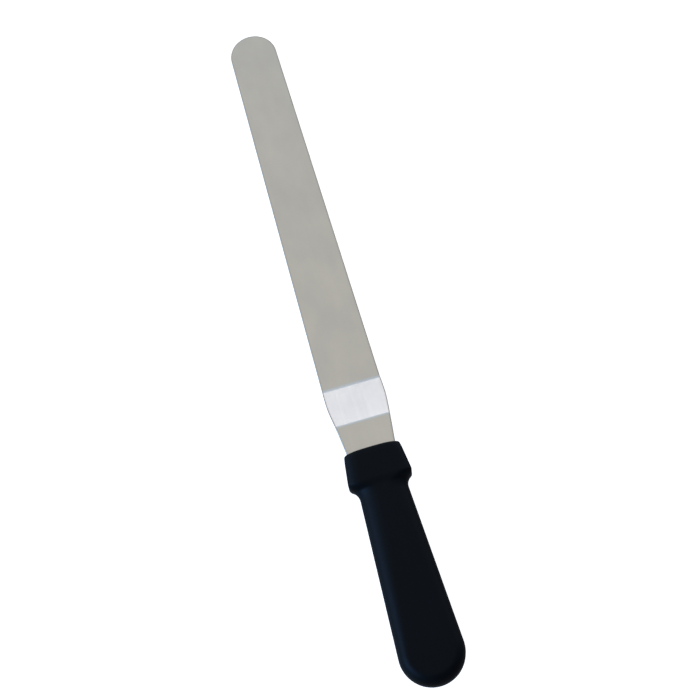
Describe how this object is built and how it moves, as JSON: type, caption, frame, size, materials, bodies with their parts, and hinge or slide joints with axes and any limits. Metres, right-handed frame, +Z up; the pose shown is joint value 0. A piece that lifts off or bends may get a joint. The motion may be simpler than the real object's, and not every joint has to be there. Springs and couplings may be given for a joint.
{
  "type": "offset spatula",
  "caption": "Long round-tipped steel spreading blade, cranked down below a moulded plastic handle, for icing cakes and levelling batter.",
  "frame": {"origin": "middle of the footprint, on the plane of the blade's underside", "axes": "+Y along the blade towards its tip, +X to the right, +Z up from the blade towards the tang's level"},
  "size_m": [0.033, 0.384, 0.0279],
  "materials": {
    "blade_steel": "satin, fine grain along the blade",
    "handle_plastic": "fine moulded texture, semi-matte"
  },
  "bodies": {
    "root": {"blade": "blade_steel", "handle": "handle_plastic"}
  },
  "joints": []
}
